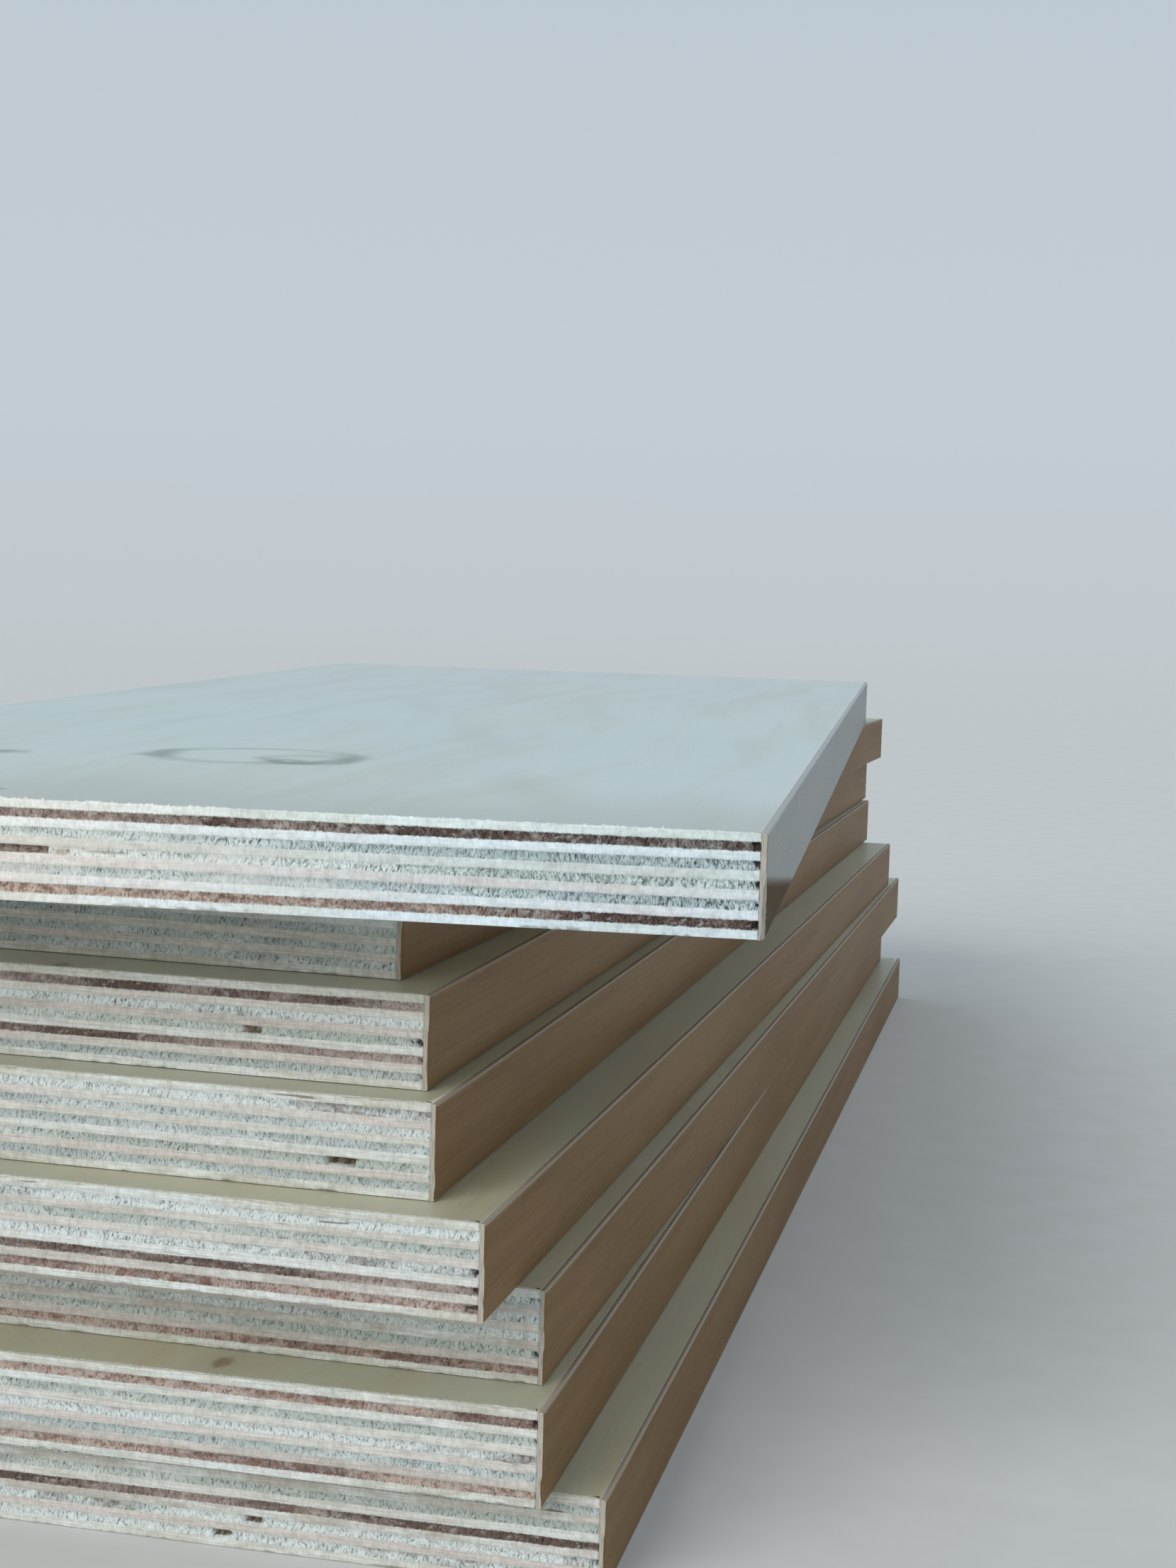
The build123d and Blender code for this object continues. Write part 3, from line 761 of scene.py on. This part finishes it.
def band_object(n, mats):
    seed = 5000 + 10 * n
    near = np.array([0.0, 0.15, 0.35, 0.6, 0.9, 1.3, 1.8, 2.5, 3.5, 5.0])
    ys = np.concatenate([near, np.arange(7.0, LENGTH - 5, 2.5), LENGTH - near[::-1]])
    rad = 0.40
    z_low, z_high = SKIN, THICK - SKIN
    arc = np.radians([0, 22.5, 45, 67.5, 90])
    out = []                                       # section, outside going up
    out += [(-rad + rad * math.sin(a), z_low + rad - rad * math.cos(a)) for a in arc]
    out += [(0.0, z) for z in np.linspace(z_low + rad, z_high - rad, 36 if n == 8 else 16)[1:-1]]
    out += [(-rad + rad * math.cos(a), z_high - rad + rad * math.sin(a)) for a in arc]
    out += [(-BAND, z_high), (-BAND, z_low)]
    sec = np.array(out)
    m = len(sec)
    Y, Xs = np.meshgrid(ys, sec[:, 0], indexing="ij")
    Zs = np.broadcast_to(sec[:, 1], Y.shape).copy()
    Xs = Xs.copy()
    outer = Xs > -BAND + 0.05
    swell = 0.05 * noise2(Y / 34.0, Zs / 8.0, seed) + 0.02 * noise2(Y / 9.0, Zs / 3.0, seed + 1) + 0.006 * (1 + np.cos(2 * np.pi * Zs / (THICK / PLIES)))
    Xs = np.where(outer, Xs - swell, Xs)
    Xs = np.where(outer & (Y < 1.0), Xs - 0.10 * (1 - Y) ** 2, Xs)                      # eased end
    Xs = np.where(outer & (LENGTH - Y < 1.0), Xs - 0.10 * (1 - (LENGTH - Y)) ** 2, Xs)
    if n == 8:
        # the near end's lower outer corner is scraped to a bevel that widens downwards
        width = 1.55 * smooth(11.6, 8.0, Zs) * (1 + 0.10 * (noise2(Zs / 1.5, 0.0, seed + 2) - 0.5))
        width = width * (1 - 0.55 * smooth(3.5, 0.2, Zs))
        bite = np.clip(1 - Y / np.maximum(width, 1e-3), 0, 1) * smooth(11.6, 8.0, Zs)
        Xs = np.where(outer, np.minimum(Xs, -0.62 * bite), Xs)
        bottom = smooth(2.4, 0.1, Zs) * np.clip(1 - Y / 1.6, 0, 1)
        Xs = np.where(outer, np.minimum(Xs, -0.55 * bottom + Xs * 0.5), Xs)
    else:
        width = 0.5 + 0.8 * noise2(seed, 3.0, seed + 3)
        bite = np.clip(1 - Y / width, 0, 1) * smooth(0.45, 0.65, noise2(Zs / 4.0, 1.0, seed + 4))
        Xs = np.where(outer, np.minimum(Xs, -0.35 * bite), Xs)
    Xs = np.maximum(Xs, -BAND)
    lengthen = 0.03 * noise2(Zs / 1.2, Xs / 0.4, seed + 5)
    Yv = np.where(Y < 0.01, Y + lengthen, Y)
    Yv = np.where(Y > LENGTH - 0.01, Y - lengthen, Yv)
    verts = np.stack([Xs, Yv, Zs], -1).reshape(-1, 3)
    i, j = np.meshgrid(np.arange(len(ys) - 1), np.arange(m), indexing="ij")
    jn = (j + 1) % m
    quads = np.stack([i * m + j, (i + 1) * m + j, (i + 1) * m + jn, i * m + jn], -1).reshape(-1, 4)
    centre_y = (ys[:-1] + ys[1:]) / 2
    mat = np.zeros(len(quads), int)
    qy = centre_y[i.ravel()]
    qz = verts[quads][:, :, 2].mean(1)
    qx = verts[quads][:, :, 0].mean(1)
    if n == 8:
        # the gloss steps down to none over the painted dark reflection at the lower near corner
        dark_reach = dark_reflection_at(qy, qz)
        mat[dark_reach < 1.05] = 2
        mat[dark_reach < 0.98] = 3
        mat[dark_reach < 0.91] = 4
        mat[(qx < -0.07) & (qx > -1.0) & (qy < 1.6) & (qz < 11.4)] = 1
    near_end = np.arange(m).tolist()
    far_end = ((len(ys) - 1) * m + np.arange(m))[::-1].tolist()
    o = mesh_object(
        f"band_{n}", verts, quads, [(near_end, 1), (far_end, 1)], mat, np.ones(len(quads), bool), {}, mats, placement(n)
    )
    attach(o, "root")
    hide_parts(f"edge_band_{n}")
    return o


brown = srgb(122, 98, 70), srgb(108, 85, 58), srgb(132, 110, 82)
gloss = [band_material(f"edge_band_gloss_{k}", brown, 0.10, 0.27, bloom, True) for k, bloom in enumerate((0.46, 0.31, 0.15, 0.0))]
satin = band_material("edge_band_satin", (srgb(136, 104, 66), srgb(118, 88, 53), srgb(146, 117, 82)), 0.14, 0.46, 0.0)
cut_end = band_end_material()
for n in range(1, 9):
    core_object(n, [ply_material(n), face_material(n)])
    band_object(n, [gloss[0], cut_end, *gloss[1:]] if n == 8 else [satin, cut_end])

# ---------------------------------------------------------------- floor
floor_mesh = bpy.data.meshes.new("floor")
ring_r = [0.0, 0.6, 1.2, 2.4, 4.8, 9.0, 16.0]
segs = 96
fv, ff = [(0, 0, 0)], []
for r in ring_r[1:]:
    fv += [(r * math.cos(2 * math.pi * a / segs), r * math.sin(2 * math.pi * a / segs), 0) for a in range(segs)]
for a in range(segs):
    ff.append((0, 1 + a, 1 + (a + 1) % segs))
for r in range(len(ring_r) - 2):
    for a in range(segs):
        b = (a + 1) % segs
        ff.append((1 + r * segs + a, 1 + (r + 1) * segs + a, 1 + (r + 1) * segs + b, 1 + r * segs + b))
floor_mesh.from_pydata(fv, [], ff)
floor = bpy.data.objects.new("floor", floor_mesh)
bpy.context.scene.collection.objects.link(floor)
fm = bpy.data.materials.new("floor_pale")
ft = Tree(fm)
fo = ft.new("ShaderNodeTexCoord").outputs["Object"]
grain = ft.noise(fo, 60.0, 3.0, 0.5)
floor_color = ft.mix(ft.span(grain, 0.3, 0.7), srgb(216, 216, 213), srgb(219, 219, 217))
# the far floor fades into the backdrop
reach = ft.new("ShaderNodeVectorMath", operation="LENGTH")
ft.link(fo, reach.inputs[0])
fade = ft.span(reach.outputs["Value"], 1.6, 9.0)
solid = ft.shader(floor_color, 0.9, Specular_IOR_Level=0.0)
clear = ft.new("ShaderNodeBsdfTransparent")
both = ft.new("ShaderNodeMixShader")
ft.link(fade, both.inputs[0])
ft.link(solid.outputs[0], both.inputs[1])
ft.link(clear.outputs[0], both.inputs[2])
ft.link(both.outputs[0], [n for n in ft.t.nodes if n.bl_idname == "ShaderNodeOutputMaterial"][0].inputs[0])
floor_mesh.materials.append(fm)

# ---------------------------------------------------------------- light
world = bpy.data.worlds.new("studio")
bpy.context.scene.world = world
world.use_nodes = True
wt = Tree(world)
coord = wt.new("ShaderNodeTexCoord").outputs["Generated"]
split = wt.new("ShaderNodeSeparateXYZ")
wt.link(coord, split.inputs[0])
dome = wt.ramp(
    split.outputs[2],
    [(0.0, srgb(194, 201, 206)), (0.08, srgb(194, 204, 212)), (0.30, srgb(189, 201, 211)), (1.0, srgb(184, 193, 200))],
    "LINEAR",
)
back = wt.new("ShaderNodeBackground")
back.inputs["Strength"].default_value = 1.0
wt.link(dome, back.inputs["Color"])
wout = wt.new("ShaderNodeOutputWorld")
wt.link(back.outputs[0], wout.inputs[0])


def sun(name, heading, height, strength, softness, color):
    """Soft light from a compass heading (0 is +Y, 90 is +X) and a height, in degrees."""
    d = bpy.data.lights.new(name, "SUN")
    d.energy, d.angle, d.color = strength, math.radians(softness), color
    o = bpy.data.objects.new(name, d)
    bpy.context.scene.collection.objects.link(o)
    h, e = math.radians(heading), math.radians(height)
    toward = Matrix.Translation((math.sin(h) * math.cos(e), math.cos(h) * math.cos(e), math.sin(e))).to_translation()
    o.rotation_euler = toward.to_track_quat("Z", "Y").to_euler()
    return o


sun("key", 205.0, 27.0, 1.75, 40.0, (1.0, 0.99, 0.97))

# ---------------------------------------------------------------- camera
cam = bpy.data.cameras.new("camera")
cam.sensor_fit = "AUTO"
cam.sensor_width = 36.0
cam.lens = 36.0 * 3212.07 / 2212.0
cam.clip_start, cam.clip_end = 0.01, 100.0
camera = bpy.data.objects.new("camera", cam)
bpy.context.scene.collection.objects.link(camera)
right, ahead, upward = (0.9635, 0.26596, 0.03063), (-0.26242, 0.96088, -0.08863), (-0.053, 0.07736, 0.99559)
camera.matrix_world = Matrix(
    (
        (right[0], upward[0], -ahead[0], 0.22986),
        (right[1], upward[1], -ahead[1], -0.69172),
        (right[2], upward[2], -ahead[2], 0.18463),
        (0, 0, 0, 1),
    )
)
bpy.context.scene.camera = camera
bpy.context.scene.view_settings.view_transform = "Standard"
bpy.context.scene.view_settings.look = "None"
